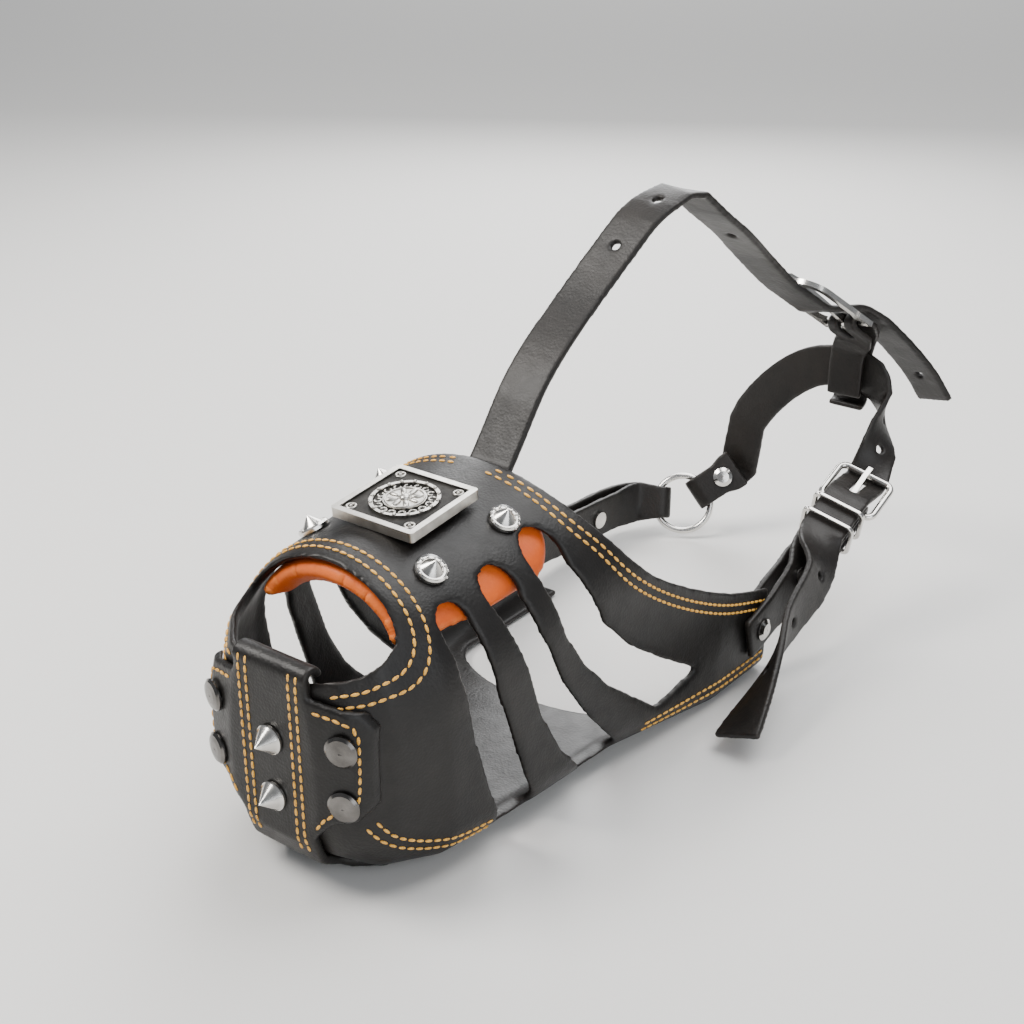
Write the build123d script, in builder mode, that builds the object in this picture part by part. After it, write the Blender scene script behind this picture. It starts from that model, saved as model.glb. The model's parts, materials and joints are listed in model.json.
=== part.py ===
"""Leather basket muzzle for a large dog, in millimetres.

The nose points along -Y, the dog's left side is +X and +Z is up. The origin is on the flat underside of the
chin plate, on the mirror plane, straight below the middle of the square ornament.
"""

from build123d import *
import math
import os

os.makedirs("parts", exist_ok=True)

# ---- driving dimensions ----
LEATHER = 3.2  # thickness of the basket's leather
PLATE = 3.0  # thickness of the front piece, the straps and the tabs
GAP = 0.3  # between pieces that lie on each other
STRAP_W = 20.0
FOLD_W = 16.0  # a strap where it is folded round the ring
BASE = PLATE + GAP  # underside of the basket; the chin plate is below it
SHOULDER = 50.0  # height of the arched top above the straight sides
EASE_FROM = 8.0  # stations of a strap further apart than this lie on a smooth curve
EASE_STEP = 6.0
PINCH = 10.0  # a folded tab from face to face
LAYER = 3.5  # from the middle of a folded tab to the middle of each of its layers

# Stations of the basket from nose to cheek: y, half width, height of the top, height of the underside.
# The last ones stand lower, because the cheek wings reach the floor behind the chin plate.
STATIONS = (
    (-70, 20, 96, 24),
    (-66, 32, 104, 14),
    (-55, 41, 112, 7),
    (-35, 49, 115.5, BASE),
    (0, 54, 118, BASE),
    (60, 59, 124.5, BASE),
    (120, 64.6, 131, 0.2),
    (160, 65.8, 135, 0.2),
)
CORNER = 18.0  # radius between the sides and the underside
TIP_CORNER = 8.0  # the same at the tips of the cheek wings
TIP_Y = 100.0  # the tips begin here

# Nose opening: an ellipse on a plane that leans back.
NOSE_CENTRE = Vector(0, -56, 98.5)
NOSE_LEAN = 48.6  # degrees from the floor
NOSE_HALF = (34.0, 21.0)

# Outlines seen from the side, as (y, z).
REAR_EDGE = ((44, 128), (48, 113), (54, 103), (67, 86), (94, 67), (126, 51), (166, 38))
SLOTS = (
    ((-29, 93), (-28, 79), (-23, 50), (-15, 23), (-9, 8), (9, 8), (1, 25), (-6, 47), (-12, 65), (-17, 93)),
    ((-6, 97), (-2, 84), (10, 47), (21, 27), (38, 8), (60, 8), (38, 32), (23, 53), (11, 79), (7, 94)),
    ((18, 102), (20, 90), (23, 75), (34, 58), (49, 42), (80, 18), (106, 24), (82, 39), (62, 53), (45, 70), (33, 98)),
)
SLOT_TOPS = ((-23, 101), (0, 105), (26, 110))

# Front piece: half of its outline seen from the front, as (x, z), and half of the chin plate, as (x, y).
WINGS = ((17, 88), (17, 80), (34, 77), (38, 71), (38, 42), (34, 36), (25, 33), (17, 24), (17, 10))
CHIN = ((17, -80), (17, -60), (27, -48), (30, -36), (30, 14), (24, 20))
LIP_FOLD_Z = 85.5  # centre of the fold over the lip of the nose opening

# Square ornament on the bridge.
CONCHO = (38.0, 3.8)
CONCHO_Z = 118.8
CONCHO_PITCH = 5.5

RIVET_R = 6.0
POST_R = 1.6
HOLE_R = 1.9
BACK_R = 4.5
BACK_H = 1.2

WALL_SLACK = 1.6  # the wings' rivets stand this far through, because the wall curves there

WIRE = 1.6  # radius of the ring's wire and of the buckles' bars
RING_R = 14.0  # centre line of the ring


# ---- the basket's surface ----
def offset_station(index, off):
    """A station moved out by off: along the plan's normal, up at the top and down at the underside."""
    y, half, top, low = STATIONS[index]
    before = (-STATIONS[0][1], STATIONS[0][0]) if index == 0 else (STATIONS[index - 1][1], STATIONS[index - 1][0])
    after = STATIONS[min(index + 1, len(STATIONS) - 1)]
    dx, dy = after[1] - before[0], after[0] - before[1]
    size = math.hypot(dx, dy)
    return y - off * dx / size, half + off * dy / size, top + off, low - off


def arch(y, half, top, low, off):
    """The face of one cross-section."""
    corner = max((TIP_CORNER if y > TIP_Y else min(CORNER, 0.6 * half)) + off, 2.0)
    side = top - SHOULDER - off
    diagonal = corner * (1 - math.sqrt(0.5))
    with BuildSketch(Plane.XZ.offset(-y)) as face:
        with BuildLine():
            Line((-half + corner, low), (half - corner, low))
            ThreePointArc((half - corner, low), (half - diagonal, low + diagonal), (half, low + corner))
            Line((half, low + corner), (half, side))
            EllipticalCenterArc((0, side), half, SHOULDER + off, 0, arc_size=180)
            Line((-half, side), (-half, low + corner))
            ThreePointArc((-half, low + corner), (-half + diagonal, low + diagonal), (-half + corner, low))
        make_face()
    return face.sketch


def hull(off, overrun=0.0):
    """The solid inside the basket's surface moved out by off, its rear end moved back by overrun."""
    faces = []
    for index in range(len(STATIONS)):
        y, half, top, low = offset_station(index, off)
        late = overrun if index == len(STATIONS) - 1 else 0.0
        faces.append(arch(y + late, half, top, low, off).face())
    return Solid.make_loft([face.outer_wire() for face in faces], ruled=True)


def between(y):
    """Half width and top height of the basket at y."""
    for (y0, half0, top0, _), (y1, half1, top1, _) in zip(STATIONS, STATIONS[1:]):
        if y0 <= y <= y1:
            t = (y - y0) / (y1 - y0)
            return half0 + t * (half1 - half0), top0 + t * (top1 - top0)
    raise ValueError(y)


def bridge_z(x, y):
    half, top = between(y)
    return top - SHOULDER + SHOULDER * math.sqrt(1 - (x / half) ** 2)


def bridge_plane(x, y):
    """A plane on the arched top, its z_dir pointing out of the leather."""
    step = 0.5
    slope_x = (bridge_z(x + step, y) - bridge_z(x - step, y)) / (2 * step)
    slope_y = (bridge_z(x, y + step) - bridge_z(x, y - step)) / (2 * step)
    return Plane(origin=(x, y, bridge_z(x, y)), z_dir=(-slope_x, -slope_y, 1))


def front_plane(x, z):
    """A plane on the front wall, its z_dir pointing out of the leather."""
    side = abs(x)
    (y0, half0), (y1, half1) = (STATIONS[0][:2], STATIONS[1][:2]) if side <= STATIONS[1][1] else (
        STATIONS[1][:2], STATIONS[2][:2])
    if side <= half0:
        return Plane(origin=(x, y0, z), x_dir=(1, 0, 0), z_dir=(0, -1, 0))
    y = y0 + (side - half0) / (half1 - half0) * (y1 - y0)
    normal = Vector(math.copysign(y1 - y0, x), -(half1 - half0), 0)
    return Plane(origin=(x, y, z), z_dir=normal)


# ---- rivets ----
BRIDGE_RIVETS = [bridge_plane(side * x, y) for side in (1, -1) for x, y in ((27, -19), (28, 21))]
SPIKES = [front_plane(0, z) for z in (59, 36)]
WING_RIVETS = [front_plane(side * 29, z) for side in (1, -1) for z in (64, 42)]
CHIN_RIVETS = [
    Plane(origin=(side * 20, y, BASE), x_dir=(1, 0, 0), z_dir=(0, 0, -1)) for side in (1, -1) for y in (-14, 6)
]


def drill(planes, radius=HOLE_R):
    """Cuts the posts' holes into the part being built."""
    for plane in planes:
        with BuildSketch(plane.offset(-12)) as hole:
            Circle(radius)
        extrude(hole.sketch, amount=24, mode=Mode.SUBTRACT)


def head_profile(kind):
    """Outline of a rivet's head above the leather, from its axis outwards, as (r, h)."""
    return {
        "cone": ((0, 6.0), (4.3, 1.5), (4.9, 1.5), (5.6, 1.9), (RIVET_R, 1.2), (RIVET_R, 0)),
        "spike": ((0, 7.5), (5.2, 1.2), (5.6, 0.9), (5.6, 0)),
        "flat": ((0, 1.9), (3.0, 1.8), (5.0, 1.4), (RIVET_R, 0.6), (RIVET_R, 0)),
    }[kind]


def rivets(name, planes, kind, grip, lift=GAP):
    """A group of rivets: each head has its post, which passes grip of leather and ends in a washer."""
    with BuildPart() as heads:
        for plane in planes:
            axial = Plane(origin=plane.origin + plane.z_dir * lift, x_dir=plane.x_dir, z_dir=-plane.y_dir)
            depth = grip + GAP + BACK_H + lift
            with BuildSketch(axial):
                with BuildLine():
                    Polyline(*head_profile(kind), (POST_R, 0), (POST_R, -depth), (0, -depth), close=True)
                make_face()
            revolve(axis=Axis(plane.origin, plane.z_dir))
    heads.part.label = name
    export_step(heads.part, f"parts/{name}.step")
    with BuildPart() as backs:
        for plane in planes:
            with BuildSketch(plane.offset(-grip - GAP)):
                Circle(BACK_R)
                Circle(POST_R + 0.05, mode=Mode.SUBTRACT)
            extrude(amount=-BACK_H)
    backs.part.label = f"{name}_backs"
    export_step(backs.part, f"parts/{name}_backs.step")


# The rivets that hold the near billet and the far tab to the tips of the cheek wings.
NEAR_WING = Plane(origin=(63.85, 150, 25), z_dir=(1, 0, 0))
FAR_WING = Plane(origin=(-63.85, 150, 20), z_dir=(-1, 0, 0))

# ---- the basket ----
NOSE_PLANE = Plane(
    origin=NOSE_CENTRE,
    x_dir=(1, 0, 0),
    z_dir=(0, -math.sin(math.radians(NOSE_LEAN)), math.cos(math.radians(NOSE_LEAN))),
)

with BuildPart() as basket_body:
    add(hull(0))
    add(hull(-LEATHER, overrun=6), mode=Mode.SUBTRACT)
    with BuildSketch(NOSE_PLANE.offset(-22)):
        Ellipse(*NOSE_HALF)
    extrude(amount=47, mode=Mode.SUBTRACT)
    with BuildSketch(Plane.YZ):
        with BuildLine():
            rear_curve = Spline(*REAR_EDGE)
            Polyline(rear_curve @ 1, (190, 38), (190, 160), (44, 160), rear_curve @ 0)
        make_face()
    extrude(amount=90, both=True, mode=Mode.SUBTRACT)
    with BuildSketch(Plane.YZ):
        for borders, (top_y, top_z) in zip(SLOTS, SLOT_TOPS):
            with BuildLine():
                Polyline(*borders)
                ThreePointArc(borders[-1], (top_y, top_z), borders[0])
            make_face()
    extrude(amount=90, both=True, mode=Mode.SUBTRACT)
    # The underside stops behind the chin, in a wide U between the cheek wings.
    with BuildSketch(Plane.XY):
        with BuildLine():
            Line((46, 170), (-46, 170))
            Line((-46, 170), (-46, 96))
            EllipticalCenterArc((0, 96), 46, 26, 180, arc_size=180)
            Line((46, 96), (46, 170))
        make_face()
    extrude(amount=BASE + 2 * LEATHER, mode=Mode.SUBTRACT)
    drill(BRIDGE_RIVETS + SPIKES + WING_RIVETS + CHIN_RIVETS + [NEAR_WING, FAR_WING])
    concho_plane = Plane(origin=(0, 0, CONCHO_Z), x_dir=(1, 0, 0), z_dir=Vector(0, 0, 1).rotate(Axis.X, CONCHO_PITCH))
    drill([concho_plane], radius=2.4)
basket_body.part.label = "basket_body"
export_step(basket_body.part, "parts/basket_body.step")


# ---- front piece: central band, wings and chin plate in one, folded over the lip ----
def mirrored(points):
    """A closed outline from its +X half."""
    return [*points, *[(-x, other) for x, other in reversed(points)]]


# The room that the front piece is cut to: its front outline, and its chin plate's.
with BuildPart() as front_room:
    with BuildSketch(Plane.XZ.offset(44)):
        with BuildLine():
            Polyline(*mirrored([(17, LIP_FOLD_Z), *WINGS[1:]]), close=True)
        make_face()
    extrude(amount=40)
    with BuildSketch(Plane.XY.offset(-1)):
        with BuildLine():
            Polyline(*mirrored(CHIN), close=True)
        make_face()
    extrude(amount=26)

with BuildPart() as front_piece:
    add(hull(GAP + PLATE))
    add(hull(GAP, overrun=6), mode=Mode.SUBTRACT)
    add(front_room.part, mode=Mode.INTERSECT)
    front_y = STATIONS[0][0]
    lip_y = front_y + LEATHER / 2
    outer = LEATHER / 2 + GAP + PLATE
    inner = LEATHER / 2 + GAP
    with BuildSketch(Plane.YZ):
        with BuildLine():
            CenterArc((lip_y, LIP_FOLD_Z), outer, 0, 180)
            Line((lip_y - outer, LIP_FOLD_Z), (lip_y - inner, LIP_FOLD_Z))
            CenterArc((lip_y, LIP_FOLD_Z), inner, 0, 180)
            Line((lip_y + inner, LIP_FOLD_Z), (lip_y + outer, LIP_FOLD_Z))
        make_face()
    extrude(amount=17, both=True)
    drill(SPIKES + WING_RIVETS + CHIN_RIVETS)
    for plane in CHIN_RIVETS:
        with BuildSketch(plane.offset(GAP + PLATE - 2)):
            Circle(RIVET_R + 0.4)
        extrude(amount=4, mode=Mode.SUBTRACT)
front_piece.part.label = "front_piece"
export_step(front_piece.part, "parts/front_piece.step")

# ---- orange lining pad under the bridge ----
with BuildPart() as pad_room:
    with BuildSketch(Plane.XY.offset(93)):
        with Locations((0, -6)):
            RectangleRounded(76, 84, 10)
        with Locations((0, 40)):
            Rectangle(26, 44, mode=Mode.SUBTRACT)
    extrude(amount=40)

with BuildPart() as nose_pad:
    add(hull(-LEATHER - 2.8))
    add(hull(-LEATHER - 7.8, overrun=8), mode=Mode.SUBTRACT)
    add(pad_room.part, mode=Mode.INTERSECT)
    with BuildSketch(NOSE_PLANE.offset(-40)):
        Ellipse(NOSE_HALF[0] - 3, NOSE_HALF[1] - 3)
    extrude(amount=80, mode=Mode.SUBTRACT)
nose_pad.part.label = "nose_pad"
export_step(nose_pad.part, "parts/nose_pad.step")

# ---- ornament and its screw ----
with BuildPart() as concho:
    with BuildSketch(concho_plane):
        RectangleRounded(CONCHO[0], CONCHO[0], 1.5)
    extrude(amount=CONCHO[1] - 0.8)
    with BuildSketch(concho_plane.offset(CONCHO[1] - 0.8)):
        RectangleRounded(CONCHO[0], CONCHO[0], 1.5)
        Rectangle(CONCHO[0] - 5, CONCHO[0] - 5, mode=Mode.SUBTRACT)
        Circle(13)
        Circle(11.6, mode=Mode.SUBTRACT)
        Circle(8)
    extrude(amount=0.8)
    with BuildSketch(concho_plane):
        Circle(2.05)
    extrude(amount=2, mode=Mode.SUBTRACT)
concho.part.label = "concho"
export_step(concho.part, "parts/concho.step")

with BuildPart() as concho_screw:
    with BuildSketch(concho_plane.offset(1.8)):
        Circle(2.0)
    extrude(amount=-(1.8 + 0.8 + LEATHER + 1.0))
    with BuildSketch(concho_plane.offset(-(0.8 + LEATHER + 0.5))):
        Circle(4.5)
    extrude(amount=-1.4)
concho_screw.part.label = "concho_screw"
export_step(concho_screw.part, "parts/concho_screw.step")

rivets("bridge_rivets", BRIDGE_RIVETS, "cone", LEATHER)
rivets("front_spikes", [p.offset(GAP + PLATE) for p in SPIKES], "spike", LEATHER + GAP + PLATE)
rivets("wing_rivets", [p.offset(GAP + PLATE) for p in WING_RIVETS], "flat", LEATHER + GAP + PLATE + WALL_SLACK)
with BuildPart() as chin_rivets:
    for plane in CHIN_RIVETS:
        with BuildSketch(plane.offset(GAP + PLATE - 1.8)):
            Circle(RIVET_R)
        extrude(amount=1.2)
        with BuildSketch(plane.offset(GAP + PLATE - 1.8)):
            Circle(POST_R)
        extrude(amount=-(LEATHER + GAP + 1.2 + GAP + 1.0))
chin_rivets.part.label = "chin_rivets"
export_step(chin_rivets.part, "parts/chin_rivets.step")


# ---- straps: flat leather that turns and twists ----
def local(plane, along, out, across=0.0):
    """A point of a strap's own frame: x_dir runs along the strap, y_dir across it, z_dir out of its face."""
    return plane.origin + plane.x_dir * along + plane.y_dir * across + plane.z_dir * out


def strap_frame(origin, along, across):
    along = Vector(along).normalized()
    across = Vector(across)
    across = (across - along * across.dot(along)).normalized()
    return Plane(origin=origin, x_dir=along, z_dir=along.cross(across))


def section_planes(stations):
    """A plane across the strap at each station (centre, across, width): x_dir across, z_dir along."""
    planes = []
    for index, (centre, across, _) in enumerate(stations):
        before = stations[max(index - 1, 0)][0]
        after = stations[min(index + 1, len(stations) - 1)][0]
        tangent = (after - before).normalized()
        across = across - tangent * across.dot(tangent)
        planes.append(Plane(origin=centre, x_dir=across, z_dir=tangent))
    return planes


def eased(stations):
    """Adds stations along the long bends, on a smooth curve through the given ones. Tight folds stay as they are."""
    centres = [station[0] for station in stations]
    lengths = [(b - a).length for a, b in zip(centres, centres[1:])]
    result = []
    for index, length in enumerate(lengths):
        around = lengths[max(index - 1, 0):index + 2]
        result.append(stations[index])
        if min(around) < EASE_FROM:
            continue
        p1, p2 = centres[index], centres[index + 1]
        p0 = centres[index - 1] if index else p1 * 2 - p2
        p3 = centres[index + 2] if index + 2 < len(centres) else p2 * 2 - p1
        (_, across_1, width_1), (_, across_2, width_2) = stations[index], stations[index + 1]
        count = math.ceil(length / EASE_STEP)
        for step in range(1, count):
            t = step / count
            bend = (p0 * -1 + p1 * 3 - p2 * 3 + p3) * t**3 + (p0 * 2 - p1 * 5 + p2 * 4 - p3) * t**2 + (p2 - p0) * t
            across = across_1.normalized() * (1 - t) + across_2.normalized() * t
            result.append((p1 + bend * 0.5, across, width_1 * (1 - t) + width_2 * t))
    return [*result, stations[-1]]


def ribbon(stations):
    stations = eased(stations)
    wires = []
    for plane, (_, _, width) in zip(section_planes(stations), stations):
        with BuildSketch(plane) as section:
            Rectangle(width, PLATE)
        wires.append(section.sketch.face().outer_wire())
    return Solid.make_loft(wires, ruled=True)


def fold(plane, centre, width):
    """Stations round a bar, from the outer layer over the closed end to the inner layer."""
    return [
        (
            local(plane, centre + LAYER * math.cos(math.radians(a)), LAYER * math.sin(math.radians(a))),
            plane.y_dir,
            width,
        )
        for a in (90, 60, 30, 0, -30, -60, -90)
    ]


def layer(centres, out, width=STRAP_W):
    """Stations of one layer of a tab, moved out from the tab's middle line of (centre, across)."""
    stations = [(Vector(c), Vector(a), width) for c, a in centres]
    planes = section_planes(stations)
    return [(plane.origin + plane.y_dir * -out, a, w) for plane, (_, a, w) in zip(planes, stations)]


def punch(stations, indexes, radius=2.0):
    """Round holes through a strap at some of its stations."""
    planes = section_planes(stations)
    for index in indexes:
        out = planes[index].y_dir
        with BuildSketch(Plane(origin=planes[index].origin - out * 4, z_dir=out)) as hole:
            Circle(radius)
        extrude(hole.sketch, amount=8, mode=Mode.SUBTRACT)


def slit(plane, start, end, half_width):
    """A slit for a buckle's prong, between two places along the strap."""
    with BuildSketch(plane.offset(-9)) as window:
        with Locations(((start + end) / 2, 0)):
            Rectangle(end - start, 2 * half_width)
    extrude(window.sketch, amount=20, mode=Mode.SUBTRACT)


def prong(name, plane, reach):
    """A buckle's tongue: an eye round the bar and a shank that rests on the far side of the frame."""
    with BuildPart() as tongue:
        with BuildSketch(Plane(origin=plane.origin, x_dir=plane.x_dir, z_dir=-plane.y_dir)):
            Circle(WIRE + 1.35)
            with BuildLine():
                Polyline(
                    (1.9, -1.4), (reach - 3, 1.95), (reach + 2.5, 1.95), (reach + 2.5, 3.2), (reach - 4, 3.7),
                    (1.9, 1.4), close=True,
                )
            make_face()
            Circle(WIRE + 0.15, mode=Mode.SUBTRACT)
        extrude(amount=1.1, both=True)
    tongue.part.label = name
    export_step(tongue.part, f"parts/{name}.step")


def finish(builder, name):
    builder.part.label = name
    export_step(builder.part, f"parts/{name}.step")


# The near (left) buckle, where the neck strap is fastened: its heel bar is the frame's origin.
SIDE = strap_frame((66.5, 226, 54), (0.03, 0.92, 0.388), (-0.95, -0.1, 0.25))
SIDE_REACH = 22.0
# The top buckle, which joins the overhead strap to the neck strap.
TOP = strap_frame((43, 262, 127), (-0.42, -0.69, 0.587), (0.908, -0.32, 0.27))
TOP_REACH = 39.0
# The ring on the right side, facing forwards and up, and the two folds that hold it.
RING_CENTRE = Vector(-35, 255, 17)
RING_NORMAL = Vector(0.464, -0.778, 0.423).normalized()
RING_SIDE = Vector(0.859, 0.512, 0)
RING_UP = RING_NORMAL.cross(RING_SIDE)
FOLD_AT = 11.0
TAB_END = strap_frame(RING_CENTRE, RING_SIDE * -1, RING_UP * -1)
NECK_END = strap_frame(RING_CENTRE, RING_SIDE * 0.81 + RING_UP * 0.587, RING_UP * 0.81 - RING_SIDE * 0.587)


def ring_fold(plane):
    """Round the ring's wire, closed towards the ring's centre."""
    turned = Plane(origin=local(plane, FOLD_AT, 0), x_dir=plane.x_dir * -1, z_dir=plane.z_dir)
    return [(centre, plane.y_dir, width) for centre, _, width in fold(turned, 0, FOLD_W)]


def tab_rivets(name, planes, grip):
    """Headed pins that pass a doubled tab: a domed head in front and a washer-shaped head behind, in one piece."""
    with BuildPart() as pins:
        for plane in planes:
            axial = Plane(origin=plane.origin, x_dir=plane.x_dir, z_dir=-plane.y_dir)
            top = grip / 2 + GAP
            with BuildSketch(axial):
                with BuildLine():
                    Polyline(
                        (0, top + 1.9), (3.0, top + 1.6), (4.8, top + 0.5), (4.8, top), (POST_R, top),
                        (POST_R, -top), (4.2, -top), (4.2, -top - 1.0), (0, -top - 1.0), close=True,
                    )
                make_face()
            revolve(axis=Axis(plane.origin, plane.z_dir))
    finish(pins, name)


# ---- overhead strap ----
ACROSS = Vector(1, 0, 0)
overhead_route = [
    ((0, 22, 113.9), ACROSS), ((0, 43, 115.6), ACROSS), ((0, 50, 118.5), ACROSS), ((0, 57, 127), ACROSS),
    ((0, 70, 143), ACROSS), ((0, 84, 155), ACROSS), ((1, 107, 171), ACROSS), ((5, 125, 187), ACROSS),
    ((8, 136, 197), ACROSS), ((11, 145, 202), ACROSS), ((14, 154, 205), ACROSS), ((16, 161, 203), ACROSS),
    ((18, 172, 194), ACROSS), ((20, 191, 181), ACROSS), ((20, 210, 167), ACROSS),
]
overhead_stations = [(Vector(c), a, STRAP_W) for c, a in overhead_route]
overhead_stations += [
    (local(TOP, along, out), TOP.y_dir, STRAP_W)
    for along, out in ((TOP_REACH + 4, -3.7), (21.5, -3.7), (18, -2.4), (3, 6.4), (-1, 7.7), (-8, 8.4), (-15, 8.8))
]
overhead_stations += [(Vector(c), TOP.y_dir, STRAP_W) for c in ((57, 288, 113), (66, 299, 97), (72, 306, 83))]
with BuildPart() as overhead_strap:
    add(ribbon(overhead_stations))
    punch(overhead_stations, (7, 9, 13, 23))
    slit(TOP, 4.5, 19, 2.0)
finish(overhead_strap, "overhead_strap")

# ---- top buckle: an oval frame with a heel bar, its prong and the leather loop that hangs on the neck strap ----
with BuildPart() as top_buckle_frame:
    with BuildSketch(TOP.offset(-1.2)):
        with Locations((TOP_REACH / 2, 0)):
            RectangleRounded(TOP_REACH + 2 * WIRE, 30, 13)
            RectangleRounded(TOP_REACH - 2 * WIRE, 24, 10, mode=Mode.SUBTRACT)
        with Locations((0, 0)):
            Rectangle(9, 40, mode=Mode.SUBTRACT)
        with Locations((3, 13.3), (3, -13.3)):
            Rectangle(9, 3.0)
    extrude(amount=2.4)
    with BuildSketch(Plane(origin=local(TOP, 0, 0, -13), x_dir=TOP.x_dir, z_dir=TOP.y_dir)):
        Circle(WIRE)
    extrude(amount=26)
finish(top_buckle_frame, "top_buckle_frame")
prong("top_buckle_prong", TOP, TOP_REACH)

LOOP_W = 17.0
inner_leg = [((40, 272.0, 88), ACROSS), ((40, 272.0, 106), ACROSS), ((42, 270.5, 114), ACROSS)]
outer_leg = [((43, 278.2, 118), ACROSS), ((40, 281.2, 108), ACROSS), ((40, 281.2, 88), ACROSS)]
top_loop_stations = [(Vector(c), a, LOOP_W) for c, a in inner_leg]
top_loop_stations += [(local(TOP, -8, -LAYER), TOP.y_dir, LOOP_W)]
top_loop_stations += list(reversed(fold(TOP, 0, LOOP_W)))
top_loop_stations += [(local(TOP, -8, LAYER), TOP.y_dir, LOOP_W)]
top_loop_stations += [(Vector(c), a, LOOP_W) for c, a in outer_leg]
top_loop_stations += [(Vector(c), ACROSS, LOOP_W) for c in ((40, 279.6, 83.6), (40, 276.6, 82.4), (40, 273.8, 82.4))]
with BuildPart() as top_loop:
    add(ribbon(top_loop_stations))
    slit(TOP, -6, 7, 2.0)
finish(top_loop, "top_loop")
# ---- neck strap: folded round the ring, over the neck, through the near buckle and down as a loose tail ----
NECK_PIN = Plane(origin=local(NECK_END, 24, 0), z_dir=NECK_END.z_dir)
neck_stations = [
    (local(NECK_END, along, LAYER), NECK_END.y_dir, width)
    for along, width in ((33, STRAP_W), (28, STRAP_W), (22, FOLD_W))
]
neck_stations += ring_fold(NECK_END)
neck_stations += [
    (local(NECK_END, along, -LAYER), NECK_END.y_dir, width)
    for along, width in ((22, FOLD_W), (28, STRAP_W), (34, STRAP_W))
]
neck_route = [
    ((-14, 279, 59), (-0.93, 0, 0.36)), ((2, 277, 82), (-0.62, 0, 0.78)), ((21, 276.2, 97), (-0.3, 0, 0.95)),
    ((40, 276.2, 101), (0, 0, 1)), ((51, 276.4, 98), (0.15, 0, 1)), ((58, 275, 90), (0.45, -0.4, 0.75)),
    ((61, 270, 81), (0.2, -0.85, 0.5)), ((66, 259, 71), (-0.55, -0.6, 0.5)),
]
neck_stations += [(Vector(c), Vector(a), STRAP_W) for c, a in neck_route]
neck_stations += [
    (local(SIDE, along, out), SIDE.y_dir, STRAP_W)
    for along, out in ((SIDE_REACH + 2, -3.7), (20.5, -3.7), (18, -2.4), (3, 6.4), (-1, 7.4), (-24, 7.4))
]
tail_route = [
    ((78, 180, 41), (-0.3, -0.36, 0.85)), ((80, 153, 31), (0, -0.3, 0.9)), ((84, 128, 20), (0.45, 0.1, 0.85)),
    ((90, 92, 9), (0.8, 0.4, 0.35)),
]
neck_stations += [(Vector(c), Vector(a), STRAP_W) for c, a in tail_route]
with BuildPart() as neck_strap:
    add(ribbon(neck_stations))
    punch(neck_stations, (19, 20, 27, 28, 29))
    slit(SIDE, 4.5, 19, 2.0)
    drill([NECK_PIN])
finish(neck_strap, "neck_strap")
tab_rivets("neck_strap_rivet", [NECK_PIN], PINCH)

with BuildPart() as o_ring:
    with BuildSketch(Plane(origin=RING_CENTRE, x_dir=RING_SIDE, z_dir=RING_UP)):
        with Locations((RING_R, 0)):
            Circle(WIRE)
    revolve(axis=Axis(RING_CENTRE, RING_NORMAL))
finish(o_ring, "o_ring")

# ---- near billet: two layers that grip the left cheek wing and fold round the buckle's bar ----
near_route = [
    ((63.75, 140, 23), (0, -0.3, 0.95)), ((64.1, 160, 29), (0, -0.388, 0.92)),
    ((66, 181, 36), (-0.35, -0.36, 0.85)), (tuple(local(SIDE, -26, 0)), tuple(SIDE.y_dir)),
    (tuple(local(SIDE, 0, 0)), tuple(SIDE.y_dir)),
]
near_out = [s[0] for s in layer(near_route, 1)]
near_sign = 1 if near_out[0].X > near_route[0][0][0] else -1
near_middle = section_planes([(Vector(c), Vector(a), STRAP_W) for c, a in near_route])
NEAR_PINS = [NEAR_WING] + [Plane(origin=p.origin, z_dir=p.y_dir * -near_sign) for p in near_middle[2:3]]
with BuildPart() as near_billet:
    outer_layer = layer(near_route, near_sign * LAYER)[:-1]
    inner_layer = layer(near_route, -near_sign * LAYER)[:-1]
    add(ribbon([*outer_layer, *fold(SIDE, 0, STRAP_W), *reversed(inner_layer)]))
    slit(SIDE, -6, 7, 2.0)
    drill(NEAR_PINS)
finish(near_billet, "near_billet")
tab_rivets("near_billet_rivets", NEAR_PINS, PINCH)

with BuildPart() as side_buckle_frame:
    with BuildLine(SIDE) as side_frame_path:
        FilletPolyline((0, 5), (0, 13), (SIDE_REACH, 13), (SIDE_REACH, -13), (0, -13), (0, -5), radius=3.5)
    with BuildSketch(Plane(origin=local(SIDE, 0, 0, 5), x_dir=SIDE.x_dir, z_dir=SIDE.y_dir)):
        Circle(WIRE)
    sweep(path=side_frame_path.wire())
    with BuildSketch(Plane(origin=local(SIDE, 0, 0, -5), x_dir=SIDE.x_dir, z_dir=SIDE.y_dir)):
        Circle(WIRE)
    extrude(amount=10)
finish(side_buckle_frame, "side_buckle_frame")
prong("side_buckle_prong", SIDE, SIDE_REACH)

KEEPERS = {"keeper_rear": -8.0, "keeper_front": -18.0}
for keeper_name, place in KEEPERS.items():
    keeper_plane = Plane(origin=local(SIDE, place, 2.0), x_dir=SIDE.y_dir, z_dir=SIDE.x_dir)
    with BuildPart() as keeper:
        with BuildSketch(keeper_plane.offset(-1)):
            RectangleRounded(25.2, 19.2, 3.5)
            RectangleRounded(21.2, 15.2, 1.5, mode=Mode.SUBTRACT)
        extrude(amount=2)
        fillet(keeper.edges().filter_by(GeomType.LINE), radius=0.5)
    finish(keeper, keeper_name)

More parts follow.
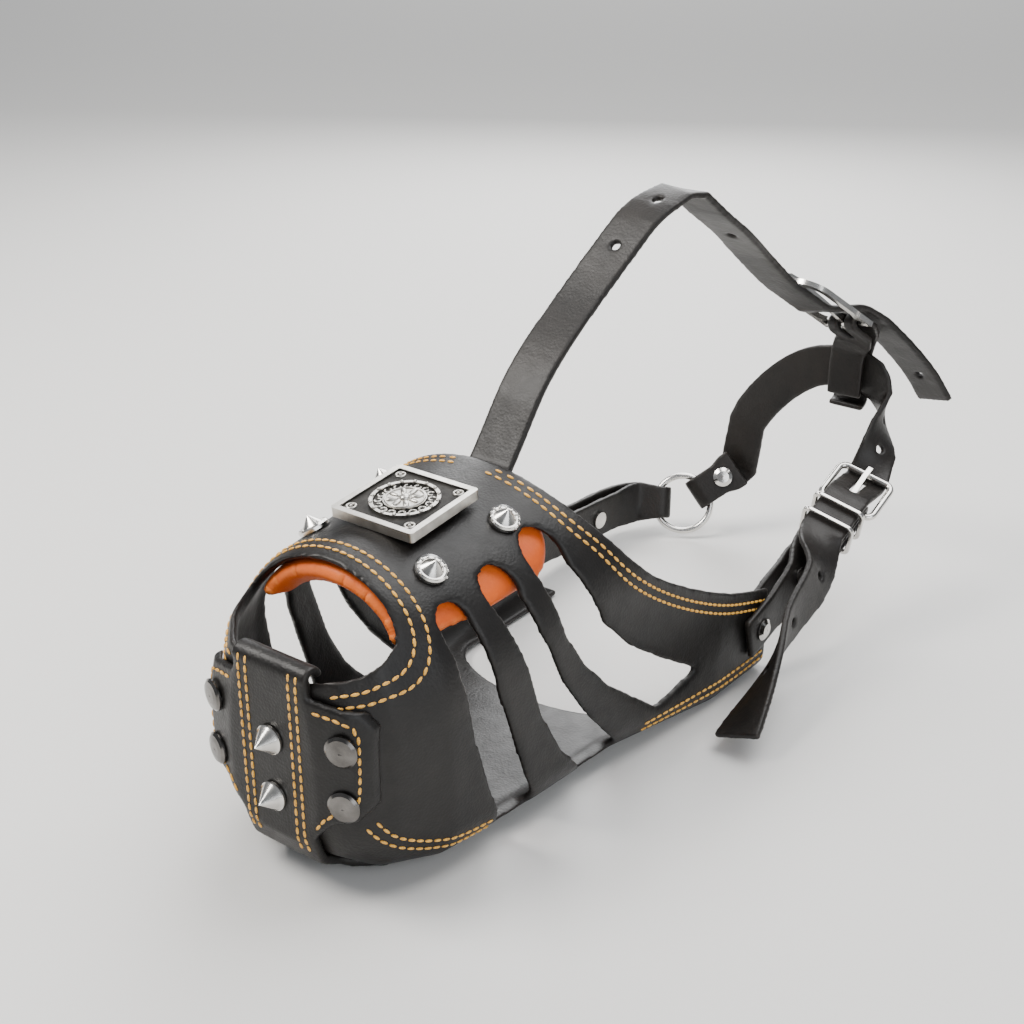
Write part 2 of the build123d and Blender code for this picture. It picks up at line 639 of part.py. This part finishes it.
# ---- far tab: two layers that grip the right cheek wing and fold round the ring ----
far_route = [
    ((-63.75, 135, 20), (0, 0, -1)), ((-64.2, 160, 20), (0, 0, -1)), ((-63.5, 186, 18.5), (0, 0, -1)),
    ((-62.5, 212, 17.5), (0, 0, -1)), ((-61, 229, 17), (0, 0, -1)), (tuple(local(TAB_END, 23, 0)), tuple(TAB_END.y_dir)),
    (tuple(local(TAB_END, FOLD_AT, 0)), tuple(TAB_END.y_dir)),
]
far_middle = section_planes([(Vector(c), Vector(a), STRAP_W) for c, a in far_route])
FAR_PINS = [FAR_WING, Plane(origin=far_middle[3].origin, z_dir=far_middle[3].y_dir)]
with BuildPart() as far_tab:
    camera_side = layer(far_route, -LAYER)[:-1]
    away_side = layer(far_route, LAYER)[:-1]
    turn = ring_fold(TAB_END)
    if (turn[0][0] - camera_side[-1][0]).length > (turn[-1][0] - camera_side[-1][0]).length:
        turn = list(reversed(turn))
    add(ribbon([*camera_side, *turn, *reversed(away_side)]))
    drill(FAR_PINS)
finish(far_tab, "far_tab")
tab_rivets("far_tab_rivets", FAR_PINS, PINCH)
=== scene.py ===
"""Leather basket muzzle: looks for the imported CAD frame. Metres; nose along -Y, dog's left +X, +Z up."""

import json
import math

import bmesh
import bpy
from mathutils import Matrix, Vector
from mathutils.bvhtree import BVHTree


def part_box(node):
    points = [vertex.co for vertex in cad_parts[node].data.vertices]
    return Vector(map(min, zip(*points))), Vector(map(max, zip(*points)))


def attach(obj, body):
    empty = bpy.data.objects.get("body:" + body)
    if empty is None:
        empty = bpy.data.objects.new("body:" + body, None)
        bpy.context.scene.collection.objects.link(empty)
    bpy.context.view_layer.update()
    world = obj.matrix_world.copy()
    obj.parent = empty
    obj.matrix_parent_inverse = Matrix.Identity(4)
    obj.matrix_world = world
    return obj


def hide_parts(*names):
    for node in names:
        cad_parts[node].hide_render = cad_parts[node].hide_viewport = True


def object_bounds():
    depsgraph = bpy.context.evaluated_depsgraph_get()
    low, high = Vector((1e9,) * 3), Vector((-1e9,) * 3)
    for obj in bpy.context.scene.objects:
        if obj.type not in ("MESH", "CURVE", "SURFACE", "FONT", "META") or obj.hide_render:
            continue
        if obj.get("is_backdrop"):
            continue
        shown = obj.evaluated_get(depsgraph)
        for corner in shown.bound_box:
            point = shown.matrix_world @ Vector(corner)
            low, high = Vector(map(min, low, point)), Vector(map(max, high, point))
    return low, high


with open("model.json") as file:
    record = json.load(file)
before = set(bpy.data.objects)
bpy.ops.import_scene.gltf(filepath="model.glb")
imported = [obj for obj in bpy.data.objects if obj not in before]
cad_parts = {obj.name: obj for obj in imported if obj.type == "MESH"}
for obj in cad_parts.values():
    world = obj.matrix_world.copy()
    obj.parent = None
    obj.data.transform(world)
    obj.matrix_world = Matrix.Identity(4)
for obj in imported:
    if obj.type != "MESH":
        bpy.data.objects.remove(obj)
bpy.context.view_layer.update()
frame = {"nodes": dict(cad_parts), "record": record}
MM = 0.001
BODY_OF = {node: body for body, nodes in frame["record"]["behaviour"]["bodies"].items() for node in nodes}

# Sizes that repeat the CAD's, in mm and degrees, except that REAR_EDGE ends 3 mm short of its corner.
RIM_CENTRE = Vector((0, -56, 98.5))
RIM_HALF = (34, 21)
RIM_LEAN = math.radians(48.6)
ORNAMENT_PITCH = math.radians(5.5)
REAR_EDGE = ((44, 128), (48, 113), (54, 103), (67, 86), (94, 67), (126, 51), (163, 38.5))
CONES = ((27, -19), (28, 21), (-27, -19), (-28, 21))

# Stitches, in mm: from one to the next, half their length and thickness, and the rows' distances.
STITCH_STEP = 3.5
STITCH_HALF = (1.6, 0.62, 0.5)
REAR_ROWS = (-5.0, -8.6)
LOW_ROWS = (0.0, 3.4)
RIM_ROWS = (5.0, 8.4)


# ---- materials ----
def new_material(name):
    material = bpy.data.materials.new(name)
    material.use_nodes = True
    tree = material.node_tree
    return material, tree, tree.nodes["Principled BSDF"]


def add(tree, kind, **sockets):
    node = tree.nodes.new(kind)
    for key, value in sockets.items():
        node.inputs[key.replace("_", " ")].default_value = value
    return node


def ramp(tree, source, stops):
    node = tree.nodes.new("ShaderNodeValToRGB")
    while len(node.color_ramp.elements) < len(stops):
        node.color_ramp.elements.new(0.5)
    for element, (place, colour) in zip(node.color_ramp.elements, stops):
        element.position = place
        element.color = (*colour, 1)
    tree.links.new(source, node.inputs["Fac"])
    return node.outputs["Color"]


def leather(name, dark, light, edge, rough=(0.34, 0.56), grain=0.25, coat=0.07):
    """Grained leather: cloudy dye, a pebbled surface, soft wrinkles, and paler cut edges."""
    material, tree, shader = new_material(name)
    link = tree.links.new
    where = tree.nodes.new("ShaderNodeTexCoord").outputs["Object"]
    cloud = add(tree, "ShaderNodeTexNoise", Scale=42.0, Detail=6.0, Roughness=0.6)
    pebble = add(tree, "ShaderNodeTexVoronoi", Scale=950.0)
    fine = add(tree, "ShaderNodeTexNoise", Scale=1900.0, Detail=3.0)
    wrinkle = add(tree, "ShaderNodeTexNoise", Scale=120.0, Detail=5.0, Distortion=0.8)
    for node in (cloud, pebble, fine, wrinkle):
        link(where, node.inputs["Vector"])
    dye = ramp(tree, cloud.outputs["Fac"], ((0.3, dark), (0.72, light)))
    worn = tree.nodes.new("ShaderNodeNewGeometry").outputs["Pointiness"]
    wear = tree.nodes.new("ShaderNodeMapRange")
    wear.inputs["From Min"].default_value = 0.53
    wear.inputs["From Max"].default_value = 0.62
    link(worn, wear.inputs["Value"])
    mix = tree.nodes.new("ShaderNodeMix")
    mix.data_type = "RGBA"
    mix.inputs["B"].default_value = (*edge, 1)
    link(wear.outputs["Result"], mix.inputs["Factor"])
    link(dye, mix.inputs["A"])
    link(mix.outputs["Result"], shader.inputs["Base Color"])
    gloss = tree.nodes.new("ShaderNodeMapRange")
    gloss.inputs["To Min"].default_value, gloss.inputs["To Max"].default_value = rough
    link(wrinkle.outputs["Fac"], gloss.inputs["Value"])
    link(gloss.outputs["Result"], shader.inputs["Roughness"])
    before = None
    for source, strength, distance in (
        (wrinkle.outputs["Fac"], 0.25, 0.0008),
        (pebble.outputs["Distance"], grain, 0.0003),
        (fine.outputs["Fac"], 0.15, 0.0001),
    ):
        bump = add(tree, "ShaderNodeBump", Strength=strength, Distance=distance)
        link(source, bump.inputs["Height"])
        if before:
            link(before.outputs["Normal"], bump.inputs["Normal"])
        before = bump
    link(before.outputs["Normal"], shader.inputs["Normal"])
    shader.inputs["Coat Weight"].default_value = coat
    shader.inputs["Coat Roughness"].default_value = 0.35
    shader.inputs["Specular IOR Level"].default_value = 0.32
    return material


def metal(name, colour, dull, rough, shade_in_hollows=0.0):
    """Worn metal: fine scratches, cloudy roughness, and painted shade that darkens the hollows when the
    last argument is above 0.
    """
    material, tree, shader = new_material(name)
    link = tree.links.new
    where = tree.nodes.new("ShaderNodeTexCoord").outputs["Object"]
    cloud = add(tree, "ShaderNodeTexNoise", Scale=160.0, Detail=6.0)
    scratch = add(tree, "ShaderNodeTexNoise", Scale=700.0, Detail=8.0, Distortion=1.5)
    link(where, cloud.inputs["Vector"])
    link(where, scratch.inputs["Vector"])
    tone = ramp(tree, cloud.outputs["Fac"], ((0.3, dull), (0.7, colour)))
    # Painted shade: concave places (low pointiness) fade to a darker copy of the dull colour, which stands
    # in for the shade in hollows.
    if shade_in_hollows:
        hollow_shade_mask = tree.nodes.new("ShaderNodeMapRange")
        hollow_shade_mask.inputs["From Min"].default_value = 0.44
        hollow_shade_mask.inputs["From Max"].default_value = 0.52
        link(tree.nodes.new("ShaderNodeNewGeometry").outputs["Pointiness"], hollow_shade_mask.inputs["Value"])
        mix = tree.nodes.new("ShaderNodeMix")
        mix.data_type = "RGBA"
        mix.inputs["A"].default_value = tuple(c * (1 - shade_in_hollows) for c in dull) + (1,)
        link(hollow_shade_mask.outputs["Result"], mix.inputs["Factor"])
        link(tone, mix.inputs["B"])
        tone = mix.outputs["Result"]
    link(tone, shader.inputs["Base Color"])
    gloss = tree.nodes.new("ShaderNodeMapRange")
    gloss.inputs["To Min"].default_value, gloss.inputs["To Max"].default_value = rough
    link(scratch.outputs["Fac"], gloss.inputs["Value"])
    link(gloss.outputs["Result"], shader.inputs["Roughness"])
    bump = add(tree, "ShaderNodeBump", Strength=0.08, Distance=0.0001)
    link(scratch.outputs["Fac"], bump.inputs["Height"])
    link(bump.outputs["Normal"], shader.inputs["Normal"])
    shader.inputs["Metallic"].default_value = 1.0
    return material


def thread_material():
    material, tree, shader = new_material("waxed_thread")
    link = tree.links.new
    where = tree.nodes.new("ShaderNodeTexCoord").outputs["Object"]
    twist = add(tree, "ShaderNodeTexNoise", Scale=1500.0, Detail=2.0)
    link(where, twist.inputs["Vector"])
    tone = ramp(tree, twist.outputs["Fac"], ((0.3, (0.62, 0.27, 0.03)), (0.7, (0.95, 0.55, 0.10))))
    link(tone, shader.inputs["Base Color"])
    bump = add(tree, "ShaderNodeBump", Strength=0.5, Distance=0.0002)
    link(twist.outputs["Fac"], bump.inputs["Height"])
    link(bump.outputs["Normal"], shader.inputs["Normal"])
    shader.inputs["Roughness"].default_value = 0.5
    return material


BLACK = leather("basket_black", (0.0035, 0.0030, 0.0027), (0.010, 0.0082, 0.0070), (0.030, 0.021, 0.015))
FRONT = leather(
    "front_black", (0.0035, 0.0030, 0.0027), (0.009, 0.0076, 0.0066), (0.034, 0.024, 0.017), grain=0.3,
)
STRAP = leather(
    "strap_black", (0.0045, 0.0038, 0.0033), (0.014, 0.011, 0.0090), (0.060, 0.044, 0.032),
    rough=(0.36, 0.58),
)
ORANGE = leather(
    "lining_orange", (0.62, 0.085, 0.008), (0.85, 0.16, 0.015), (0.9, 0.24, 0.04),
    rough=(0.45, 0.65), coat=0.05,
)
# The silver and the nickel get painted shade in their hollows, set by the last argument.
SILVER = metal("antique_silver_metal", (0.62, 0.60, 0.56), (0.40, 0.38, 0.35), (0.22, 0.42), shade_in_hollows=0.85)
NICKEL = metal("nickel_metal", (0.78, 0.76, 0.72), (0.62, 0.60, 0.57), (0.12, 0.3), shade_in_hollows=0.4)
GUNMETAL = metal("dark_nickel", (0.20, 0.19, 0.18), (0.10, 0.095, 0.09), (0.14, 0.3))
# Painted shade: the near-black metal of the sheet under the ornament's raised parts.
SHADE_GROUND = metal("painted_shade_dark_metal", (0.045, 0.042, 0.038), (0.015, 0.014, 0.013), (0.45, 0.7))
STEEL = metal("plain_steel", (0.5, 0.5, 0.5), (0.35, 0.35, 0.35), (0.3, 0.5))
THREAD = thread_material()


# ---- leather pieces: remeshed and eased, so that cut edges are round and bends flow ----
def applied(obj, name):
    bpy.context.view_layer.update()
    evaluated = obj.evaluated_get(bpy.context.evaluated_depsgraph_get())
    mesh = bpy.data.meshes.new_from_object(evaluated)
    obj.modifiers.clear()
    obj.data = mesh
    mesh.name = name
    for polygon in mesh.polygons:
        polygon.use_smooth = True


def soften(node, name, material, voxel, rounds, swell=0.0):
    obj = bpy.data.objects.new(name, frame["nodes"][node].data.copy())
    bpy.context.scene.collection.objects.link(obj)
    remesh = obj.modifiers.new("remesh", "REMESH")
    remesh.mode = "VOXEL"
    remesh.voxel_size = voxel * MM
    ease = obj.modifiers.new("ease", "SMOOTH")
    ease.factor = 0.5
    ease.iterations = rounds
    if swell:
        puff = obj.modifiers.new("puff", "DISPLACE")
        puff.strength = swell * MM
        puff.mid_level = 0.0
    applied(obj, name)
    obj.data.materials.clear()
    obj.data.materials.append(material)
    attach(obj, BODY_OF[node])
    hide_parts(node)
    return obj


shell = soften("basket_body", "basket_shell", BLACK, 1.1, 14)
front = soften("front_piece", "front_band", FRONT, 0.8, 10)
lining = soften("nose_pad", "orange_lining", ORANGE, 1.0, 12, swell=2.2)
for node, name in (
    ("overhead_strap", "crown_strap"), ("top_loop", "crown_loop"), ("neck_strap", "collar_strap"),
    ("near_billet", "left_billet"), ("far_tab", "right_tab"),
):
    soften(node, name, STRAP, 0.7, 14)


# ---- stitching ----
def merged(name, template, places, material, body="muzzle"):
    """One mesh of a template bmesh repeated at each 4x4 place."""
    whole = bmesh.new()
    for place in places:
        copy = bpy.data.meshes.new("stamp")
        template.to_mesh(copy)
        copy.transform(place)
        whole.from_mesh(copy)
        bpy.data.meshes.remove(copy)
    mesh = bpy.data.meshes.new(name)
    whole.to_mesh(mesh)
    whole.free()
    for polygon in mesh.polygons:
        polygon.use_smooth = True
    mesh.materials.append(material)
    obj = bpy.data.objects.new(name, mesh)
    bpy.context.scene.collection.objects.link(obj)
    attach(obj, body)
    return obj


def ball(scale, rings=6, sides=8):
    template = bmesh.new()
    bmesh.ops.create_uvsphere(template, u_segments=sides, v_segments=rings, radius=1.0)
    bmesh.ops.scale(template, vec=Vector(scale) * MM, verts=template.verts)
    return template


def smooth_path(points, step=0.5):
    """A Catmull-Rom curve through points, as many close points."""
    points = [Vector(p) for p in points]
    ends = [points[0] * 2 - points[1], *points, points[-1] * 2 - points[-2]]
    path = []
    for a, b, c, d in zip(ends, ends[1:], ends[2:], ends[3:]):
        count = max(2, int((c - b).length / step))
        for index in range(count):
            t = index / count
            bend = (2 * a - 5 * b + 4 * c - d) * t * t + (3 * b - a - 3 * c + d) * t ** 3
            path.append(0.5 * (2 * b + (c - a) * t + bend))
    return [*path, points[-1]]


def beside(path, distance):
    """A flat path moved sideways, to the left of its direction if distance is positive."""
    moved = []
    for index, point in enumerate(path):
        ahead = path[min(index + 1, len(path) - 1)] - path[max(index - 1, 0)]
        moved.append(point + Vector((-ahead.y, ahead.x)).normalized() * distance)
    return moved


def trees(*objs):
    dg = bpy.context.evaluated_depsgraph_get()
    return [BVHTree.FromObject(o, dg) for o in objs]


SHELL_TREE, FRONT_TREE = trees(shell, front)


def sew(tree, rays):
    """Places of stitches where rays (start, direction, in mm) meet the leather, at even distances."""
    places, last, before = [], None, None
    for start, direction in rays:
        hit, normal, _, _ = tree.ray_cast(Vector(start) * MM, Vector(direction))
        if hit is None:
            last = before = None
            continue
        if normal.dot(Vector(direction)) > 0:
            normal = -normal
        if before is not None and last is not None and (hit - last).length >= STITCH_STEP * MM:
            along = (hit - before).normalized()
            if (hit - last).length < 2 * STITCH_STEP * MM:
                side = normal.cross(along).normalized()
                up = along.cross(side)
                turn = Matrix((along, side, up)).transposed().to_4x4()
                places.append(Matrix.Translation((hit + last) / 2 + up * 0.00008) @ turn)
            last = hit
        if last is None:
            last = hit
        before = hit
    return places


def side_rays(path):
    return [[((sx * 120, p.x, p.y), (-sx, 0, 0)) for p in path] for sx in (1, -1)]


def row(tree, all_rays):
    return [place for rays in all_rays for place in sew(tree, rays)]


# Seams seen from the side, as (y, z).
REAR = smooth_path(REAR_EDGE)
LOW = smooth_path(((72, 10), (100, 9), (130, 7.5), (162, 7.5)))
CHIN_LINE = smooth_path(((-64, 31), (-58, 23), (-45, 16), (-30, 12), (-14, 10)))
stitch = ball(STITCH_HALF)
rear_rows = []
for distance in REAR_ROWS:
    rear_rows += row(SHELL_TREE, side_rays(beside(REAR, distance)))
merged("stitches_rear_edge", stitch, rear_rows, THREAD)
low_rows = []
for distance in LOW_ROWS:
    low_rows += row(SHELL_TREE, side_rays(beside(LOW, distance)))
    low_rows += row(SHELL_TREE, side_rays(beside(CHIN_LINE, distance)))
merged("stitches_low_edge", stitch, low_rows, THREAD)

# The nose opening's plane: across, up the slope, and out of it.
RIM_U = Vector((1, 0, 0))
RIM_V = Vector((0, math.cos(RIM_LEAN), math.sin(RIM_LEAN)))
RIM_N = Vector((0, -math.sin(RIM_LEAN), math.cos(RIM_LEAN)))
rim_rows = []
for out in RIM_ROWS:
    rays = []
    for index in range(721):
        angle = math.radians(index * 0.4 - 54)
        across = RIM_U * (RIM_HALF[0] + out) * math.cos(angle)
        flat = RIM_CENTRE + across + RIM_V * (RIM_HALF[1] + out) * math.sin(angle)
        rays.append((flat + RIM_N * 40, -RIM_N))
    rim_rows += sew(SHELL_TREE, rays)
merged("stitches_nose_rim", stitch, rim_rows, THREAD)

front_rows = []
for x in (-13.4, -10.0, 10.0, 13.4):
    front_rows += sew(FRONT_TREE, [((x, -120, 88 - 0.5 * k), (0, 1, 0)) for k in range(150)])
for sx in (1, -1):
    outline = smooth_path(((19, 76), (31, 73.5), (34.6, 68), (34.6, 45), (31, 38.6), (24, 36), (18, 28)))
    front_rows += sew(FRONT_TREE, [((sx * p.x, -120, p.y), (0, 1, 0)) for p in outline])
merged("stitches_front_band", stitch, front_rows, THREAD)

# ---- square ornament: a plain rosette of beads, rings and petals ----
concho = frame["nodes"]["concho"]
CONCHO_TREE = trees(concho)[0]
low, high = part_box("concho")
AXIS = Vector((0, -math.sin(ORNAMENT_PITCH), math.cos(ORNAMENT_PITCH)))
RIGHT = Vector((1, 0, 0))
BACK = Vector((0, math.cos(ORNAMENT_PITCH), math.sin(ORNAMENT_PITCH)))
MIDDLE = (low + high) / 2


def on_concho(x, y, turn=0.0):
    """The place on the ornament's face at x, y in mm from its middle, turned about its axis."""
    point = MIDDLE + (RIGHT * x + BACK * y) * MM
    hit, _, _, _ = CONCHO_TREE.ray_cast(point + AXIS * 0.02, -AXIS)
    spin = Matrix((RIGHT, BACK, AXIS)).transposed().to_4x4() @ Matrix.Rotation(turn, 4, "Z")
    return Matrix.Translation(hit or point) @ spin


def ring_template(major, minor, start=0.0, sweep=360.0, sides=8, steps=24):
    template = bmesh.new()
    loops = []
    closed = sweep >= 360
    for index in range(steps if closed else steps + 1):
        a = math.radians(start + sweep * index / steps)
        loop = []
        for k in range(sides):
            b = 2 * math.pi * k / sides
            r = major + minor * math.cos(b)
            place = Vector((r * math.cos(a), r * math.sin(a), minor * math.sin(b)))
            loop.append(template.verts.new(place * MM))
        loops.append(loop)
    pairs = list(zip(loops, loops[1:])) + ([(loops[-1], loops[0])] if closed else [])
    for one, two in pairs:
        for k in range(sides):
            template.faces.new((one[k], two[k], two[(k + 1) % sides], one[(k + 1) % sides]))
    if not closed:
        template.faces.new(loops[0])
        template.faces.new(list(reversed(loops[-1])))
    return template


around = [math.radians(360 * k / 16) for k in range(16)]
merged("ornament_beads", ball((0.75, 0.75, 0.6)), [
    on_concho(12.3 * math.cos(a), 12.3 * math.sin(a)) for a in around], SILVER)
merged("ornament_scrolls", ring_template(1.2, 0.38, 20, 270), [
    on_concho(9.8 * math.cos(a + 0.2), 9.8 * math.sin(a + 0.2), a) for a in around], SILVER)
petals = [math.radians(45 * k) for k in range(8)]
merged("ornament_petals", ball((2.6, 1.15, 0.8), 8, 12), [
    on_concho(4.6 * math.cos(a), 4.6 * math.sin(a), a) for a in petals], SILVER)
merged("ornament_centre", ball((2.0, 2.0, 1.3), 10, 16), [on_concho(0, 0)], SILVER)
merged("ornament_rings", ring_template(7.2, 0.45, steps=64), [
    on_concho(0, 7.2) @ Matrix.Translation((0, -0.0072, 0))], SILVER)
corners = [(sx * 13.6, sy * 13.6) for sx in (1, -1) for sy in (1, -1)]
merged("ornament_corner_knots", ring_template(1.7, 0.5), [on_concho(x, y) for x, y in corners], SILVER)
merged("ornament_corner_dots", ball((0.7, 0.7, 0.7)), [on_concho(x, y) for x, y in corners], SILVER)

# A dark, hammered sheet between the raised parts: painted shade, a near-black metal that stands in for the
# shade in the ornament's hollows.
ground = bmesh.new()
bmesh.ops.create_grid(ground, x_segments=40, y_segments=40, size=16.4 * MM)
for vert in ground.verts:
    vert.co.z = (0.04 + 0.03 * math.sin(vert.co.x * 9000) * math.sin(vert.co.y * 8100)) * MM
merged("ornament_painted_shade", ground, [on_concho(0, 10.0) @ Matrix.Translation((0, -0.010, 0))], SHADE_GROUND)

# ---- beads round the cone rivets ----
rivet_tree = trees(frame["nodes"]["bridge_rivets"])[0]
cone_beads = []
for x, y in CONES:
    own = [v.co for v in frame["nodes"]["bridge_rivets"].data.vertices
           if abs(v.co.x / MM - x) < 8 and abs(v.co.y / MM - y) < 8]
    tip = Vector(min(own, key=lambda c: -c.z))
    tilt = Vector((math.copysign(0.38, x), 0, 1)).normalized()
    side = tilt.cross(Vector((0, 1, 0))).normalized()
    other = tilt.cross(side)
    for k in range(14):
        a = 2 * math.pi * k / 14
        start = tip - tilt * 0.0045 + (side * math.cos(a) + other * math.sin(a)) * 0.0053
        hit, _, _, _ = rivet_tree.ray_cast(start + tilt * 0.01, -tilt)
        if hit:
            cone_beads.append(Matrix.Translation(hit))
merged("rivet_beads", ball((0.55, 0.55, 0.55)), cone_beads, NICKEL)

# ---- hardware keeps its CAD shape ----
METALS = {"antique_silver": SILVER, "nickel": NICKEL, "steel_backs": STEEL}
for entry in frame["record"]["subparts"]:
    material = METALS.get(entry["material_slot"])
    if material is None:
        continue
    node = frame["nodes"][entry["node"]]
    node.data.materials.clear()
    node.data.materials.append(GUNMETAL if entry["node"] == "wing_rivets" else material)
    bevel = node.modifiers.new("edge", "BEVEL")
    bevel.width = 0.00025
    bevel.segments = 2
    bevel.limit_method = "ANGLE"
    bevel.angle_limit = math.radians(35)
    smooth = node.modifiers.new("normals", "WEIGHTED_NORMAL")
    smooth.keep_sharp = True

# ---- stage ----
floor_mesh = bpy.data.meshes.new("floor")
floor_mesh.from_pydata([(-6, -6, 0), (6, -6, 0), (6, 6, 0), (-6, 6, 0)], [], [(0, 1, 2, 3)])
floor = bpy.data.objects.new("floor", floor_mesh)
bpy.context.scene.collection.objects.link(floor)
pale, pale_tree, pale_shader = new_material("pale_floor")
pale_shader.inputs["Base Color"].default_value = (0.72, 0.71, 0.69, 1)
pale_shader.inputs["Roughness"].default_value = 0.8
floor_mesh.materials.append(pale)
floor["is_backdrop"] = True

world = bpy.data.worlds.new("studio")
world.use_nodes = True
world.node_tree.nodes["Background"].inputs["Color"].default_value = (0.9, 0.94, 1.0, 1)
world.node_tree.nodes["Background"].inputs["Strength"].default_value = 0.3
bpy.context.scene.world = world


def softbox(name, place, size, power, colour=(1, 1, 1)):
    light = bpy.data.lights.new(name, "AREA")
    light.energy, light.size, light.color = power, size, colour
    obj = bpy.data.objects.new(name, light)
    obj.location = place
    obj.rotation_euler = (Vector((0, 0.08, 0.08)) - Vector(place)).to_track_quat("-Z", "Y").to_euler()
    bpy.context.scene.collection.objects.link(obj)


softbox("key", (-0.55, -0.35, 0.95), 0.5, 16, (1, 0.97, 0.93))
softbox("top", (0.15, 0.45, 1.0), 0.8, 12)
softbox("fill", (0.95, -0.4, 0.5), 0.9, 7, (0.93, 0.96, 1.0))
softbox("rim", (-0.5, 0.9, 0.55), 0.6, 8)

back_light = bpy.data.lights.new("backdrop_light", "AREA")
back_light.energy, back_light.size = 40, 2.2
back_lamp = bpy.data.objects.new("backdrop_light", back_light)
back_lamp.location = (-1.5, 2.6, 1.9)
bpy.context.scene.collection.objects.link(back_lamp)

camera = bpy.data.objects.new("camera", bpy.data.cameras.new("camera"))
camera.data.lens, camera.data.sensor_width = 56.25, 36.0
camera.location = (0.343, -0.392, 0.359)
camera.rotation_euler = (math.radians(65), 0, math.radians(37))
camera.data.clip_start = 0.01
bpy.context.scene.collection.objects.link(camera)
bpy.context.scene.camera = camera

low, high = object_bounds()
